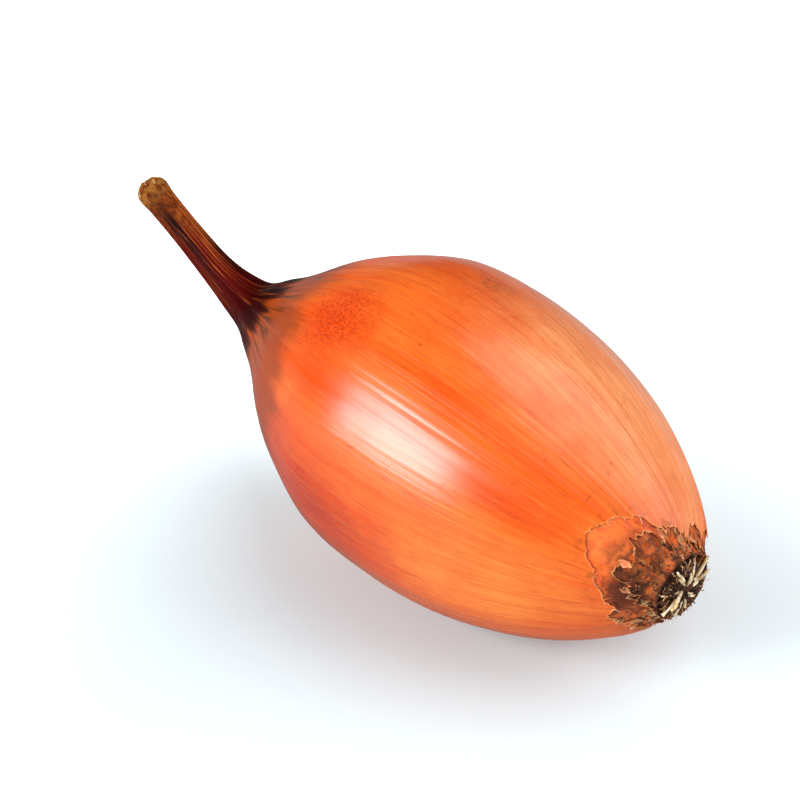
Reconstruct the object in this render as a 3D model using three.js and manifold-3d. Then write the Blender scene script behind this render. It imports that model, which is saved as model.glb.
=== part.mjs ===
// A long, copper-skinned onion lying on its side, in millimetres.
// +Z is up and +X runs along the bulb to its root end. The origin is the middle of the flat rest spot.
// The bulb and its dry neck are one grown solid. The corky root plate with its rootlets is the other.
import * as THREE from 'three';
import { mergeVertices } from 'three/addons/utils/BufferGeometryUtils.js';
import Module from 'manifold-3d';

const wasm = await Module();
wasm.setup();

// Bulb
const bulbLength = 86.5; // root rim to the foot of the neck
const bulbRadius = 24;
const bulbSides = 44;
const bulbRings = 46;

// Dry neck
const neckLength = 30;
const waistRadius = 2.15;
const tipRadius = 2.5;
const bendStart = 83; // distance from the root rim
const bendLength = 17;
const bendAngle = THREE.MathUtils.degToRad(24);

// Root end
const rimRadius = 5.3;
const recessRadius = 4.7;
const recessDepth = 1.3;
const gap = 0.3; // between the bulb and the root plate
const plateDome = 0.5; // how far the plate bulges past the rim
const rootletCount = 26;
const rootletRadius = 0.34;
const rootletLength = 3.4;

// How it lies
const restTilt = THREE.MathUtils.degToRad(3.0); // root end down
const flatDepth = 0.5; // taken off the lowest point as the flat rest spot

// Outline of the bulb: share of bulbLength from the root rim, share of bulbRadius.
const bulbOutline = [
  [0.017, 0.249],
  [0.047, 0.392],
  [0.093, 0.53],
  [0.163, 0.687],
  [0.256, 0.838],
  [0.372, 0.952],
  [0.5, 1.0],
  [0.628, 0.977],
  [0.744, 0.815],
  [0.814, 0.673],
  [0.872, 0.512],
  [0.919, 0.388],
  [0.965, 0.287],
  [1.012, 0.185],
];

// The neck narrows from the bulb to a waist, and widens again to a blunt round tip.
function neckOutline() {
  const at = (share) => bulbLength + share * neckLength;
  return [
    [at(0.19), waistRadius * 1.44],
    [at(0.35), waistRadius * 1.14],
    [at(0.6), waistRadius],
    [at(0.85), tipRadius * 0.94],
    [at(0.95), tipRadius],
    [at(0.99), tipRadius * 0.66],
    [at(1), 0],
  ];
}

function skinCurve() {
  const bulb = bulbOutline.map(([along, out]) => [along * bulbLength, out * bulbRadius]);
  const points = [[0, rimRadius], ...bulb, ...neckOutline()];
  return new THREE.CatmullRomCurve3(points.map(([height, radius]) => new THREE.Vector3(radius, height, 0)));
}

// A profile turned about the bulb's growing axis, which is +Z while the onion stands on its roots.
function turned(profile, sides) {
  const geometry = new THREE.LatheGeometry(profile, sides);
  return geometry.rotateX(Math.PI / 2);
}

// Everything past bendStart leans towards +X along an arc, and then runs straight.
function bendNeck(geometry) {
  const arcRadius = bendLength / bendAngle;
  const position = geometry.attributes.position;
  for (let i = 0; i < position.count; i++) {
    const past = position.getZ(i) - bendStart;
    if (past <= 0) continue;
    const onArc = Math.min(past, bendLength);
    const angle = onArc / arcRadius;
    const straight = past - onArc;
    const side = position.getX(i);
    const centreX = arcRadius * (1 - Math.cos(angle)) + straight * Math.sin(angle);
    const centreZ = bendStart + arcRadius * Math.sin(angle) + straight * Math.cos(angle);
    position.setX(i, centreX + side * Math.cos(angle));
    position.setZ(i, centreZ - side * Math.sin(angle));
  }
  return geometry;
}

function solidOf(geometry) {
  const bare = geometry.index ? geometry.clone() : geometry;
  bare.deleteAttribute('normal');
  bare.deleteAttribute('uv');
  const merged = mergeVertices(bare, 1e-4);
  const vertProperties = new Float32Array(merged.attributes.position.array);
  const triVerts = new Uint32Array(merged.index.array);
  return new wasm.Manifold(new wasm.Mesh({ numProp: 3, vertProperties, triVerts }));
}

function geometryOf(solid) {
  const mesh = solid.getMesh();
  const geometry = new THREE.BufferGeometry();
  geometry.setAttribute('position', new THREE.BufferAttribute(mesh.vertProperties, 3));
  geometry.setIndex(new THREE.BufferAttribute(mesh.triVerts, 1));
  geometry.computeVertexNormals();
  return geometry;
}

// Turns the standing onion on to its side, with the lowest point of its skin over the origin.
function layDown() {
  const turn = new THREE.Matrix4().makeRotationY(restTilt - Math.PI / 2);
  const lowest = new THREE.Vector3(0, 0, Infinity);
  for (const { x: radius, y: height } of skinCurve().getSpacedPoints(2000)) {
    const point = new THREE.Vector3(-radius, 0, height).applyMatrix4(turn);
    if (height < bendStart && point.z < lowest.z) lowest.copy(point);
  }
  return turn.premultiply(new THREE.Matrix4().makeTranslation(-lowest.x, 0, -lowest.z - flatDepth));
}

function makeBulb(lying) {
  const skin = skinCurve().getSpacedPoints(bulbRings).map(({ x, y }) => new THREE.Vector2(x, y));
  skin[skin.length - 1].x = 0;
  const recess = [new THREE.Vector2(0, recessDepth), new THREE.Vector2(recessRadius, recessDepth)];
  const standing = bendNeck(turned([...recess, ...skin], bulbSides));
  const below = new THREE.BoxGeometry(4 * bulbRadius, 4 * bulbRadius, bulbRadius);
  below.translate(0, 0, -bulbRadius / 2);
  return geometryOf(solidOf(standing.applyMatrix4(lying)).subtract(solidOf(below)));
}

// One rootlet: a hexagonal thread that leaves the plate and bends over to lie back along the bulb.
function rootlet(index) {
  const share = Math.sqrt((index + 0.5) / rootletCount);
  const around = index * Math.PI * (3 - Math.sqrt(5));
  const vary = THREE.MathUtils.seededRandom(index + 1);
  const length = rootletLength * (0.7 + 0.5 * vary);
  const out = new THREE.Vector3(Math.cos(around), Math.sin(around), 0);
  const side = new THREE.Vector3(-out.y, out.x, 0).multiplyScalar(vary - 0.5);
  const foot = out.clone().multiplyScalar(0.75 * (recessRadius - gap) * share);
  const rise = plateDome + (1.2 - 0.8 * share) * rootletRadius * 3;
  const path = new THREE.CatmullRomCurve3([
    foot.clone().setZ(gap),
    foot.clone().addScaledVector(out, 0.35 * length).setZ(-rise),
    foot.clone().addScaledVector(out, 0.8 * length).addScaledVector(side, length).setZ(0.25 * plateDome - rise),
  ]);
  const section = new THREE.Shape();
  section.absarc(0, 0, rootletRadius, 0, 2 * Math.PI);
  return new THREE.ExtrudeGeometry(section, { steps: 5, curveSegments: 3, extrudePath: path, bevelEnabled: false });
}

function makeRootPlate(lying) {
  const edge = recessRadius - gap;
  const profile = [
    new THREE.Vector2(0, -plateDome),
    new THREE.Vector2(edge * 0.55, -plateDome * 0.85),
    new THREE.Vector2(edge * 0.85, -plateDome * 0.4),
    new THREE.Vector2(edge, 0.1),
    new THREE.Vector2(edge, recessDepth - gap),
    new THREE.Vector2(0, recessDepth - gap),
  ];
  let solid = solidOf(turned(profile, 24));
  for (let i = 0; i < rootletCount; i++) solid = solid.add(solidOf(rootlet(i)));
  return geometryOf(solid).applyMatrix4(lying);
}

const lying = layDown();
const skinFinish = new THREE.MeshStandardMaterial({ color: 0xe87a3c, roughness: 0.4, metalness: 0 });
const rootFinish = new THREE.MeshStandardMaterial({ color: 0x8a6648, roughness: 0.9, metalness: 0 });

const bulb = new THREE.Mesh(makeBulb(lying), skinFinish);
bulb.name = 'bulb';
const rootPlate = new THREE.Mesh(makeRootPlate(lying), rootFinish);
rootPlate.name = 'root_plate';

const onion = new THREE.Group();
onion.add(bulb, rootPlate);

export default onion;
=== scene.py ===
import math

import bmesh
import bpy
import numpy as np
from mathutils import Matrix, Vector


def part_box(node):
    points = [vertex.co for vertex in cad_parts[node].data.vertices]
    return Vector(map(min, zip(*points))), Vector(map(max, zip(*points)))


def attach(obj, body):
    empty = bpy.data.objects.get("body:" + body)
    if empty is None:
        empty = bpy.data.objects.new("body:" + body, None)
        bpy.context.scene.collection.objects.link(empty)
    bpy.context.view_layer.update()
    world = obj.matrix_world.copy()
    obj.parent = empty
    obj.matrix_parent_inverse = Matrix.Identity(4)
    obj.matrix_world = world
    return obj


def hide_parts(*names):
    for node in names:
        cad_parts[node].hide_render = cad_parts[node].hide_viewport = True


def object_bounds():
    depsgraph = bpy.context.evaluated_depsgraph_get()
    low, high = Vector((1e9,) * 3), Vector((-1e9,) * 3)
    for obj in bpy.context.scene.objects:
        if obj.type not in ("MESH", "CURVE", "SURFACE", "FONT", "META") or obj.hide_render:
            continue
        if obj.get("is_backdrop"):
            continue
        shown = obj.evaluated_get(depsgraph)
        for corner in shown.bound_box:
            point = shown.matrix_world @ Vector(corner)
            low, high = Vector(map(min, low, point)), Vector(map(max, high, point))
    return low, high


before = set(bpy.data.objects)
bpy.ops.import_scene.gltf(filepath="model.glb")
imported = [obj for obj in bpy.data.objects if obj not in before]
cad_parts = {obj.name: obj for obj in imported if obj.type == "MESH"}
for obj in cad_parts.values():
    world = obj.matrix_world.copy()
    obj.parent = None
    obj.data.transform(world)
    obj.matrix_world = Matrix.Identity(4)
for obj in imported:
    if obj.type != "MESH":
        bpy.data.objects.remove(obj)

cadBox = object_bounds()
mm = 0.001
fullTurn = 2 * math.pi
goldenTurn = math.pi * (3 - math.sqrt(5))

scene = bpy.context.scene
scene.view_settings.view_transform = "Standard"


def colour(hexCode):
    # "#rrggbb" as it looks on screen, turned into the linear values that nodes want
    channels = [int(hexCode[i:i + 2], 16) / 255 for i in (1, 3, 5)]
    linear = [c / 12.92 if c <= 0.04045 else ((c + 0.055) / 1.055) ** 2.4 for c in channels]
    return (*linear, 1.0)


def feed(tree, socket, value):
    if isinstance(value, bpy.types.NodeSocket):
        tree.links.new(value, socket)
    else:
        socket.default_value = value


def addNode(tree, kind, inputs=None, **settings):
    made = tree.nodes.new(kind)
    for key, value in settings.items():
        setattr(made, key, value)
    for key, value in (inputs or {}).items():
        feed(tree, made.inputs[key], value)
    return made


def calc(tree, operation, first, second=0.0, clamp=False):
    made = addNode(tree, "ShaderNodeMath", {0: first, 1: second}, operation=operation, use_clamp=clamp)
    return made.outputs[0]


def times(tree, first, second, clamp=False):
    return calc(tree, "MULTIPLY", first, second, clamp)


def plus(tree, first, second, clamp=False):
    return calc(tree, "ADD", first, second, clamp)


def minus(tree, first, second):
    return calc(tree, "SUBTRACT", first, second)


def ramp(tree, value, start, end, low=0.0, high=1.0, smooth=True):
    made = addNode(tree, "ShaderNodeMapRange", {0: value, 1: start, 2: end, 3: low, 4: high},
                   interpolation_type="SMOOTHSTEP" if smooth else "LINEAR")
    return made.outputs[0]


def fade(tree, value, start, end):
    # 1 up to start and 0 from end on
    return ramp(tree, value, start, end, 1.0, 0.0)


def mixColours(tree, factor, first, second):
    made = addNode(tree, "ShaderNodeMix", data_type="RGBA")
    feed(tree, made.inputs[0], factor)
    feed(tree, made.inputs[6], first)
    feed(tree, made.inputs[7], second)
    return made.outputs[2]


def joinVector(tree, x, y, z):
    return addNode(tree, "ShaderNodeCombineXYZ", {0: x, 1: y, 2: z}).outputs[0]


def splitVector(tree, vector):
    return addNode(tree, "ShaderNodeSeparateXYZ", {0: vector}).outputs


def vectorCalc(tree, operation, first, second=(0, 0, 0)):
    return addNode(tree, "ShaderNodeVectorMath", {0: first, 1: second}, operation=operation).outputs


def noise(tree, place, seed, scale, detail, distortion=0.0):
    made = addNode(tree, "ShaderNodeTexNoise", noise_dimensions="4D", inputs={
        "Vector": place, "W": seed, "Scale": scale, "Detail": detail, "Distortion": distortion,
    })
    return made.outputs


def grainWaves(tree, grain, count, drift, seed, detail):
    # noise that runs along the skin: count waves a turn and drift waves a bulb length, from about -0.5 to 0.5
    cosine, sine, along = splitVector(tree, grain)
    size = calc(tree, "DIVIDE", count, fullTurn)
    place = joinVector(tree, times(tree, cosine, size), times(tree, sine, size), times(tree, along, drift))
    return minus(tree, noise(tree, place, seed, 1.0, detail)[0], 0.5)


def addSockets(tree, direction, labels):
    # a socket's type comes from its name, or from its default: a whole number makes an integer socket
    kinds = {"Geometry": "NodeSocketGeometry", "Material": "NodeSocketMaterial", "Colour": "NodeSocketColor"}
    for label, value in labels.items():
        number = "NodeSocketInt" if isinstance(value, int) else "NodeSocketFloat"
        kind = kinds.get(label, number)
        socket = tree.interface.new_socket(name=label, in_out=direction, socket_type=kind)
        if value is not None:
            socket.default_value = value


def startGroup(name, kind, inputs, outputs):
    # inputs are names with their defaults, outputs are names
    tree = bpy.data.node_groups.new(name, kind)
    addSockets(tree, "INPUT", inputs)
    addSockets(tree, "OUTPUT", dict.fromkeys(outputs))
    return tree, addNode(tree, "NodeGroupInput").outputs, addNode(tree, "NodeGroupOutput").inputs


def useGroup(tree, group, **values):
    # a socket such as "Line Width" is given as lineWidth
    made = addNode(tree, "ShaderNodeGroup", node_tree=group)
    sockets = {socket.name.replace(" ", "").lower(): socket for socket in made.inputs}
    for key, value in values.items():
        feed(tree, sockets[key.lower()], value)
    return made.outputs


def runNodes(piece, tree, values):
    # runs a geometry tree on a piece and keeps the result as a plain mesh
    modifier = piece.modifiers.new(tree.name, "NODES")
    modifier.node_group = tree
    sockets = {item.name: item.identifier for item in tree.interface.items_tree if item.in_out == "INPUT"}
    for label, value in values.items():
        modifier[sockets[label]] = value
    bpy.context.view_layer.update()
    evaluated = piece.evaluated_get(bpy.context.evaluated_depsgraph_get())
    grown = bpy.data.meshes.new_from_object(evaluated)
    piece.modifiers.remove(modifier)
    spare = piece.data
    piece.data = grown
    bpy.data.meshes.remove(spare)
    grown.name = piece.name
    return piece


def treeInputs(parts):
    # the values that go to a geometry tree: those whose names start with a capital
    return {key: value for key, value in parts.items() if key[0].isupper()}


def addPiece(name, vertices, faces, attributes=None):
    mesh = bpy.data.meshes.new(name)
    mesh.from_pydata(np.asarray(vertices).reshape(-1, 3).tolist(), [], faces)
    for label, values in (attributes or {}).items():
        values = np.asarray(values, np.float32)
        vector = values.ndim > 1
        layer = mesh.attributes.new(label, "FLOAT_VECTOR" if vector else "FLOAT", "POINT")
        layer.data.foreach_set("vector" if vector else "value", values.ravel())
    if faces:
        shaped = bmesh.new()
        shaped.from_mesh(mesh)
        bmesh.ops.recalc_face_normals(shaped, faces=shaped.faces)
        shaped.to_mesh(mesh)
        shaped.free()
    piece = bpy.data.objects.new(name, mesh)
    scene.collection.objects.link(piece)
    return piece


def ringFaces(rings, columns, first=0):
    # the faces between closed rings of points, with each point's number and its neighbour's in the ring
    index = first + np.arange(rings * columns).reshape(rings, columns)
    beside = np.roll(index, -1, axis=1)
    faces = np.stack([index[:-1], beside[:-1], beside[1:], index[1:]], axis=-1).reshape(-1, 4).tolist()
    return faces, index, beside


def closedFaces(rings, columns):
    # the same, with a fan of triangles on a middle point at each end
    faces, index, beside = ringFaces(rings, columns)
    middle = rings * columns
    faces += [(middle, b, a) for a, b in zip(index[0].tolist(), beside[0].tolist())]
    faces += [(middle + 1, a, b) for a, b in zip(index[-1].tolist(), beside[-1].tolist())]
    return faces


def withMiddles(rings):
    # the values of all rings in one list, ending with the middle points' own: the end rings' averages
    flat = rings.reshape(-1, *rings.shape[2:])
    return np.concatenate([flat, [rings[0].mean(0), rings[-1].mean(0)]])


# The bulb's outline, the same as its solid's

bulbLow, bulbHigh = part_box("bulb")
bulbRadius = (bulbHigh.y - bulbLow.y) / 2

shape = {
    "length": 86.5 * mm,            # root rim to the foot of the neck
    "neckLength": 30 * mm,
    "waist": 2.3 * mm,              # radius of the neck at its thinnest
    "tip": 2.5 * mm,
    "rim": 5.3 * mm,                # radius at the root rim
    "recess": 1.3 * mm,             # how deep the root plate sits
    "bendStart": 83 * mm,
    "bendLength": 17 * mm,
    "bend": math.radians(24),
    "restTilt": math.radians(3.0),  # root end down
    "sunk": 0.5 * mm,               # how much of the belly is pressed flat
    "fuller": 0.6 * mm,             # how much fuller the bulb is on its far upper side
    "fullerAt": math.radians(65),
}

# share of the length from the root rim, share of the bulb's radius
bulbOutline = [
    (0.017, 0.249), (0.047, 0.392), (0.093, 0.53), (0.163, 0.687), (0.256, 0.838),
    (0.372, 0.952), (0.5, 1.0), (0.628, 0.977), (0.744, 0.815), (0.814, 0.673),
    (0.872, 0.512), (0.919, 0.388), (0.965, 0.287), (1.012, 0.185),
]
neckOutline = [
    (0.19, 1.44 * shape["waist"]), (0.35, 1.14 * shape["waist"]), (0.6, shape["waist"]),
    (0.85, 0.94 * shape["tip"]), (0.95, shape["tip"]), (0.99, 0.66 * shape["tip"]), (1.0, 0.0),
]


def between(first, second, start, end, t):
    # first where t is start, second where t is end
    return (end - t) / (end - start) * first + (t - start) / (end - start) * second


def smoothLine(points, steps):
    # a centripetal Catmull-Rom line through the points
    points = np.array(points, float)
    points = np.vstack([2 * points[0] - points[1], points, 2 * points[-1] - points[-2]])
    line = []
    for p0, p1, p2, p3 in zip(points, points[1:], points[2:], points[3:]):
        t0 = 0.0
        t1 = t0 + np.linalg.norm(p1 - p0) ** 0.5
        t2 = t1 + np.linalg.norm(p2 - p1) ** 0.5
        t3 = t2 + np.linalg.norm(p3 - p2) ** 0.5
        t = np.linspace(t1, t2, steps, endpoint=False)[:, None]
        middle = between(p1, p2, t1, t2, t)
        before = between(between(p0, p1, t0, t1, t), middle, t0, t2, t)
        after = between(middle, between(p2, p3, t2, t3, t), t1, t3, t)
        line.append(between(before, after, t1, t2, t))
    return np.vstack([*line, points[-2]])


def makeOutline():
    # distance travelled from the rim, height and radius: the recess comes first, with distances below 0
    body = [(along * shape["length"], out * bulbRadius) for along, out in bulbOutline]
    neck = [(shape["length"] + along * shape["neckLength"], radius) for along, radius in neckOutline]
    outside = smoothLine([(0, shape["rim"]), *body, *neck], 40)
    depth, rim = shape["recess"], shape["rim"]
    floor, foot, wall = np.array([(depth, 0), (depth, 0.8 * rim), (0.5 * depth, 0.93 * rim)])
    inside = np.vstack([
        np.linspace(floor, foot, 12, endpoint=False), np.linspace(foot, wall, 12, endpoint=False), wall,
    ])
    height, radius = np.vstack([inside, outside]).T
    travelled = np.concatenate([[0], np.cumsum(np.hypot(np.diff(height), np.diff(radius)))])
    return travelled - travelled[len(inside)], height, np.maximum(radius, 0), len(inside)


outlineTravel, outlineHeight, outlineRadius, rimAt = makeOutline()
outlineOut = np.gradient(outlineHeight, outlineTravel)    # the outline's normal, away from the axis
outlineUp = -np.gradient(outlineRadius, outlineTravel)    # and along it
recessTravel, wholeTravel = outlineTravel[0], outlineTravel[-1]


def travelAt(height):
    return np.interp(height, outlineHeight[rimAt:], outlineTravel[rimAt:])


def makeLying():
    # turns the standing onion on to its side, with the lowest point of its skin over the origin
    turn = Matrix.Rotation(shape["restTilt"] - math.pi / 2, 4, "Y")
    drop = outlineRadius * math.cos(shape["restTilt"]) - outlineHeight * math.sin(shape["restTilt"])
    lowest = int(np.argmax(drop))
    touching = turn @ Vector((-outlineRadius[lowest], 0, outlineHeight[lowest]))
    return Matrix.Translation((-touching.x, 0, -touching.z - shape["sunk"])) @ turn


lying = makeLying()


def bendNeck(points):
    # everything past bendStart leans over along an arc and then runs straight
    x, y, z = np.moveaxis(points, -1, 0)
    arcRadius = shape["bendLength"] / shape["bend"]
    past = np.maximum(z - shape["bendStart"], 0)
    onArc = np.minimum(past, shape["bendLength"])
    angle = onArc / arcRadius
    straight = past - onArc
    bentX = arcRadius * (1 - np.cos(angle)) + straight * np.sin(angle) + x * np.cos(angle)
    bentZ = np.minimum(z, shape["bendStart"]) + arcRadius * np.sin(angle) + straight * np.cos(angle)
    return np.stack([bentX, y, bentZ - x * np.sin(angle)], axis=-1)


def laidDown(points):
    turn = np.array(lying.to_3x3())
    return points @ turn.T + np.array(lying.translation)


def onSkin(travel, around, lift):
    # a place on the skin: distance along the outline, angle around the axis, height above the skin
    height = np.interp(travel, outlineTravel, outlineHeight)
    height = height + lift * np.interp(travel, outlineTravel, outlineUp)
    radius = np.interp(travel, outlineTravel, outlineRadius)
    radius = radius + lift * np.interp(travel, outlineTravel, outlineOut)
    share = height / shape["length"]
    belly = np.clip((share - 0.15) / 0.35, 0, 1) * np.clip((1 - share) / 0.3, 0, 1)
    radius = radius + shape["fuller"] * belly * np.cos(around - shape["fullerAt"])
    standing = np.stack([radius * np.cos(around), radius * np.sin(around), height], axis=-1)
    return laidDown(bendNeck(standing))


def outwardAt(travel, around, lift):
    # the direction away from the skin
    outward = onSkin(travel, around, lift + 0.1 * mm) - onSkin(travel, around, lift)
    return outward / np.maximum(np.linalg.norm(outward, axis=-1, keepdims=True), 1e-12)


def grainAt(travel, around):
    # what the materials read: the angle as cosine and sine, and the share of the bulb's length
    along = np.interp(travel, outlineTravel, outlineHeight) / shape["length"]
    return np.stack([np.cos(around), np.sin(around), along], axis=-1)


def periodic(around, points):
    # a smooth closed line through (angle in degrees, value) pairs
    angles, values = np.array(sorted((angle % 360, value) for angle, value in points), float).T
    degrees = np.degrees(around) % 360
    nextOne = np.searchsorted(angles, degrees, side="right") % len(angles)
    before = nextOne - 1
    span = (angles[nextOne] - angles[before]) % 360
    share = ((degrees - angles[before]) % 360) / span
    share = share * share * (3 - 2 * share)
    return values[before] + share * (values[nextOne] - values[before])


def ragged(around, seed, bands):
    # random waves that close on themselves: bands are (fewest waves a turn, most, size)
    rng = np.random.default_rng(seed)
    total = np.zeros_like(around)
    for fewest, most, size in bands:
        height = size * math.sqrt(2 / (most - fewest))
        for waves in range(fewest, most):
            total += height * np.sin(waves * around + rng.uniform(0, fullTurn))
    return total


def turnedPiece(name, rings, columns):
    # rings are (travel, lift, distance from the torn edge), root side first
    around = np.linspace(0, fullTurn, columns, endpoint=False)
    travel, lift, edge = (np.array([np.broadcast_to(ring[i], columns) for ring in rings]) for i in range(3))
    turn = np.broadcast_to(around, travel.shape)
    return addPiece(name, withMiddles(onSkin(travel, turn, lift)), closedFaces(len(rings), columns), {
        "grain": withMiddles(grainAt(travel, turn)),
        "outward": withMiddles(outwardAt(travel, turn, lift)),
        "edge": withMiddles(edge) / mm,
    })


# Geometry trees

def finishTree(tree, geometry, material, result):
    smooth = addNode(tree, "GeometryNodeSetShadeSmooth", {"Geometry": geometry})
    real = addNode(tree, "GeometryNodeRealizeInstances", {"Geometry": smooth.outputs[0]})
    painted = addNode(tree, "GeometryNodeSetMaterial", {"Geometry": real.outputs[0], "Material": material})
    feed(tree, result["Geometry"], painted.outputs[0])
    tree.is_modifier = True
    return tree


def named(tree, label, kind="FLOAT_VECTOR"):
    return addNode(tree, "GeometryNodeInputNamedAttribute", {"Name": label}, data_type=kind).outputs[0]


def randomValue(tree, low, high, seed, salt):
    made = addNode(tree, "FunctionNodeRandomValue", {2: low, 3: high}, data_type="FLOAT")
    feed(tree, made.inputs["Seed"], plus(tree, seed, salt))
    return made.outputs[1]


def noiseVector(tree, place, scale, seed):
    return vectorCalc(tree, "SUBTRACT", noise(tree, place, seed, scale, 1.0)["Color"], (0.5, 0.5, 0.5))[0]


def scaled(tree, vector, factor):
    made = addNode(tree, "ShaderNodeVectorMath", {0: vector}, operation="SCALE")
    feed(tree, made.inputs["Scale"], factor)
    return made.outputs[0]


def spreadAround(tree, value, spread, seed, salt):
    # the value, made smaller or larger at random by up to a share of it
    low, high = minus(tree, 1.0, spread), plus(tree, 1.0, spread)
    return times(tree, value, randomValue(tree, low, high, seed, salt))


def makeSkinRelief():
    # lobes, folds and veins that run along the bulb, and a belly pressed flat where it lies
    tree, given, result = startGroup("skinRelief", "GeometryNodeTree", {
        "Geometry": None, "Material": None, "Lobe Depth": 0.0,
        "Fold Count": 30.0, "Fold Depth": 0.0, "Vein Count": 100.0, "Vein Depth": 0.0,
        "Neck Folds": 14.0, "Neck Depth": 0.0, "Crumple": 0.0, "Seed": 1.0,
    }, ["Geometry"])
    grain = named(tree, "grain")
    along = splitVector(tree, grain)[2]

    def waves(count, drift, shift):
        return grainWaves(tree, grain, count, drift, plus(tree, given["Seed"], shift), 1.5)

    def deep(socket, value):
        # the noise fills about a quarter of its range
        return times(tree, value, times(tree, given[socket], 4.0))

    lobes = times(tree, waves(5.0, 1.6, 0.0), fade(tree, along, 0.8, 0.95))
    ridges = fade(tree, calc(tree, "ABSOLUTE", waves(given["Vein Count"], 0.7, 13.1)), 0.0, 0.08)
    neckFolds = times(tree, waves(given["Neck Folds"], 2.2, 21.7), ramp(tree, along, 0.84, 0.98))
    crumple = times(tree, waves(40.0, 40.0, 31.3), fade(tree, along, 0.0, 0.16))
    total = deep("Lobe Depth", lobes)
    for height in (
        deep("Fold Depth", waves(given["Fold Count"], 1.0, 7.3)),
        times(tree, ridges, given["Vein Depth"]),
        deep("Neck Depth", neckFolds),
        deep("Crumple", crumple),
    ):
        total = plus(tree, total, height)
    raised = addNode(tree, "GeometryNodeSetPosition", {
        "Geometry": given["Geometry"], "Offset": scaled(tree, named(tree, "outward"), total),
    })
    x, y, z = splitVector(tree, addNode(tree, "GeometryNodeInputPosition").outputs[0])
    rested = addNode(tree, "GeometryNodeSetPosition", {
        "Geometry": raised.outputs[0], "Position": joinVector(tree, x, y, calc(tree, "MAXIMUM", z, 0.0)),
    })
    return finishTree(tree, rested.outputs[0], given["Material"], result)


def makeStrands():
    # a thin tapering strand on each point, along its "direction", bent away along its "outward"
    tree, given, result = startGroup("strands", "GeometryNodeTree", {
        "Geometry": None, "Material": None, "Length": 0.001, "Spread": 0.4, "Thickness": 0.0001, "Taper": 0.6,
        "Bend": 0.0, "Wiggle": 0.0, "Curl": 600.0, "Sides": 6, "Steps": 7, "Seed": 1,
    }, ["Geometry"])
    seed = given["Seed"]

    # a straight line on each point
    points = addNode(tree, "GeometryNodeMeshToPoints", {"Mesh": given["Geometry"]})
    varied = addNode(tree, "GeometryNodeStoreNamedAttribute", data_type="FLOAT", domain="POINT", inputs={
        "Geometry": points.outputs[0], "Name": "vary", "Value": randomValue(tree, 0.0, 1.0, seed, 1.0),
    })
    line = addNode(tree, "GeometryNodeCurvePrimitiveLine", {"End": (0, 0, 1)})
    fine = addNode(tree, "GeometryNodeResampleCurve", {"Curve": line.outputs[0], "Count": given["Steps"]})
    direction = named(tree, "direction")
    pointing = addNode(tree, "FunctionNodeAlignRotationToVector", {"Vector": direction}, axis="Z")
    placed = addNode(tree, "GeometryNodeInstanceOnPoints", {
        "Points": varied.outputs[0], "Instance": fine.outputs[0], "Rotation": pointing.outputs[0],
        "Scale": spreadAround(tree, given["Length"], given["Spread"], seed, 2.0),
    })
    real = addNode(tree, "GeometryNodeRealizeInstances", {"Geometry": placed.outputs[0]})

    # bent and shaken, more towards its free end
    factor = addNode(tree, "GeometryNodeSplineParameter").outputs[0]
    vary = named(tree, "vary", "FLOAT")
    bend = times(tree, calc(tree, "POWER", factor, 1.8), times(tree, given["Bend"], given["Length"]))
    bent = scaled(tree, named(tree, "outward"), bend)
    place = addNode(tree, "GeometryNodeInputPosition").outputs[0]
    shaken = noiseVector(tree, place, given["Curl"], times(tree, vary, 40.0))
    shaken = scaled(tree, shaken, times(tree, factor, times(tree, given["Wiggle"], 2.0)))
    moved = addNode(tree, "GeometryNodeSetPosition", {
        "Geometry": real.outputs[0], "Offset": vectorCalc(tree, "ADD", bent, shaken)[0],
    })

    # given its thickness, which falls towards the free end
    thin = minus(tree, 1.0, times(tree, given["Taper"], calc(tree, "POWER", factor, 2.0)))
    thin = times(tree, thin, ramp(tree, vary, 0.0, 1.0, 0.65, 1.3, smooth=False))
    ring = addNode(tree, "GeometryNodeCurvePrimitiveCircle", {
        "Resolution": given["Sides"], "Radius": given["Thickness"],
    })
    tube = addNode(tree, "GeometryNodeCurveToMesh", {
        "Curve": moved.outputs[0], "Profile Curve": ring.outputs[0], "Scale": thin, "Fill Caps": True,
    })
    return finishTree(tree, tube.outputs[0], given["Material"], result)


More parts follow.
